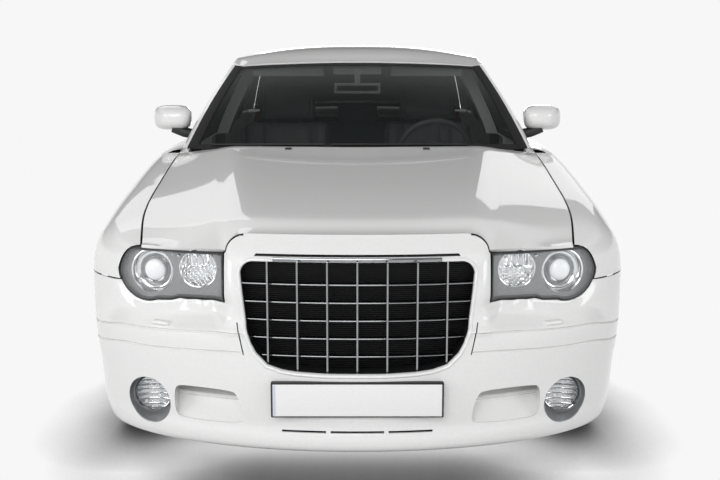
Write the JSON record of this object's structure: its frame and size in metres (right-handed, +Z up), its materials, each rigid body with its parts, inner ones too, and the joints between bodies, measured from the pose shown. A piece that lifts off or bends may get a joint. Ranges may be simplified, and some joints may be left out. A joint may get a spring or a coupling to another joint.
{
  "type": "limousine",
  "caption": "Full-size four-door saloon limousine with opening doors, bonnet and boot lid, steered front wheels, rolling wheels and a furnished cabin.",
  "frame": {"origin": "on the ground under the middle of the car", "axes": "+X to the car's left side, -Y to its front, +Z up"},
  "size_m": [1.942, 5.014, 1.4803],
  "materials": {
    "paint": "gloss white",
    "glazing": "tinted",
    "lamp_cover": "clear",
    "bright_metal": "bright",
    "dark_plastic": "matt black",
    "leather": "black",
    "chassis": "matt dark",
    "alloy": "satin",
    "tyre": "matt",
    "red_lens": "red",
    "plate": "blank white"
  },
  "bodies": {
    "body": {"floor_pan": "chassis", "rockers": "paint", "pillars": "paint", "quarter_left": "paint", "quarter_right": "paint", "roof_panel": "paint", "cowl_panel": "dark_plastic", "front_fender_left": "paint", "front_fender_right": "paint", "front_bumper": "paint", "rear_bumper": "paint", "grille": "bright_metal", "radiator": "dark_plastic", "headlamps": "bright_metal", "lamp_lenses": "lamp_cover", "fog_lamps": "bright_metal", "tail_lamps": "red_lens", "number_plate": "plate", "windscreen": "glazing", "rear_window": "glazing", "front_seats": "leather", "rear_seat": "leather", "dashboard": "dark_plastic", "steering_column": "dark_plastic", "overhead_trim": "dark_plastic", "engine": "chassis", "front_axle_frame": "chassis", "rear_axle_frame": "chassis", "exhaust": "bright_metal"},
    "bonnet": {"bonnet": "paint"},
    "boot_lid": {"boot_lid": "paint"},
    "door_front_left": {"door_front_left": "paint", "glass_front_left": "glazing", "mirror_left": "paint"},
    "door_front_right": {"door_front_right": "paint", "glass_front_right": "glazing", "mirror_right": "paint"},
    "door_rear_left": {"door_rear_left": "paint", "glass_rear_left": "glazing"},
    "door_rear_right": {"door_rear_right": "paint", "glass_rear_right": "glazing"},
    "steering_wheel": {"steering_wheel": "dark_plastic"},
    "knuckle_left": {"knuckle_left": "chassis"},
    "knuckle_right": {"knuckle_right": "chassis"},
    "wheel_front_left": {"wheel_front_left": "alloy", "tyre_front_left": "tyre"},
    "wheel_front_right": {"wheel_front_right": "alloy", "tyre_front_right": "tyre"},
    "wheel_rear_left": {"wheel_rear_left": "alloy", "tyre_rear_left": "tyre"},
    "wheel_rear_right": {"wheel_rear_right": "alloy", "tyre_rear_right": "tyre"}
  },
  "joints": [
    {"name": "steer_left", "type": "hinge", "parent": "body", "child": "knuckle_left", "pos_m": [0.74, -1.553, 0.364], "axis": [0, 0, 1], "range_deg": [-35, 35]},
    {"name": "steer_right", "type": "hinge", "parent": "body", "child": "knuckle_right", "pos_m": [-0.74, -1.553, 0.364], "axis": [0, 0, 1], "range_deg": [-35, 35]},
    {"name": "steering_wheel_turn", "type": "hinge", "parent": "body", "child": "steering_wheel", "pos_m": [0.395, -0.183, 0.935], "axis": [0, 0.9135, 0.4067], "range_deg": [-495, 495]},
    {"name": "spin_front_left", "type": "hinge", "parent": "knuckle_left", "child": "wheel_front_left", "pos_m": [0.8, -1.553, 0.364], "axis": [1, 0, 0], "continuous": true},
    {"name": "spin_front_right", "type": "hinge", "parent": "knuckle_right", "child": "wheel_front_right", "pos_m": [-0.8, -1.553, 0.364], "axis": [1, 0, 0], "continuous": true},
    {"name": "spin_rear_left", "type": "hinge", "parent": "body", "child": "wheel_rear_left", "pos_m": [0.8, 1.495, 0.364], "axis": [1, 0, 0], "continuous": true},
    {"name": "spin_rear_right", "type": "hinge", "parent": "body", "child": "wheel_rear_right", "pos_m": [-0.8, 1.495, 0.364], "axis": [1, 0, 0], "continuous": true},
    {"name": "door_front_left_hinge", "type": "hinge", "parent": "body", "child": "door_front_left", "pos_m": [0.932, -0.915, 0.6], "axis": [0, 0, -1], "range_deg": [0, 68]},
    {"name": "door_front_right_hinge", "type": "hinge", "parent": "body", "child": "door_front_right", "pos_m": [-0.932, -0.915, 0.6], "axis": [0, 0, 1], "range_deg": [0, 68]},
    {"name": "door_rear_left_hinge", "type": "hinge", "parent": "body", "child": "door_rear_left", "pos_m": [0.932, 0.169, 0.6], "axis": [0, 0, -1], "range_deg": [0, 68]},
    {"name": "door_rear_right_hinge", "type": "hinge", "parent": "body", "child": "door_rear_right", "pos_m": [-0.932, 0.169, 0.6], "axis": [0, 0, 1], "range_deg": [0, 68]},
    {"name": "bonnet_hinge", "type": "hinge", "parent": "body", "child": "bonnet", "pos_m": [0, -0.931, 0.99], "axis": [-1, 0, 0], "range_deg": [0, 55]},
    {"name": "boot_lid_hinge", "type": "hinge", "parent": "body", "child": "boot_lid", "pos_m": [0, 1.693, 1.088], "axis": [1, 0, 0], "range_deg": [0, 82]}
  ],
  "couplings": [
    {"joint": "steer_right", "follows": "steer_left", "ratio": 1},
    {"joint": "steering_wheel_turn", "follows": "steer_left", "ratio": 14}
  ]
}
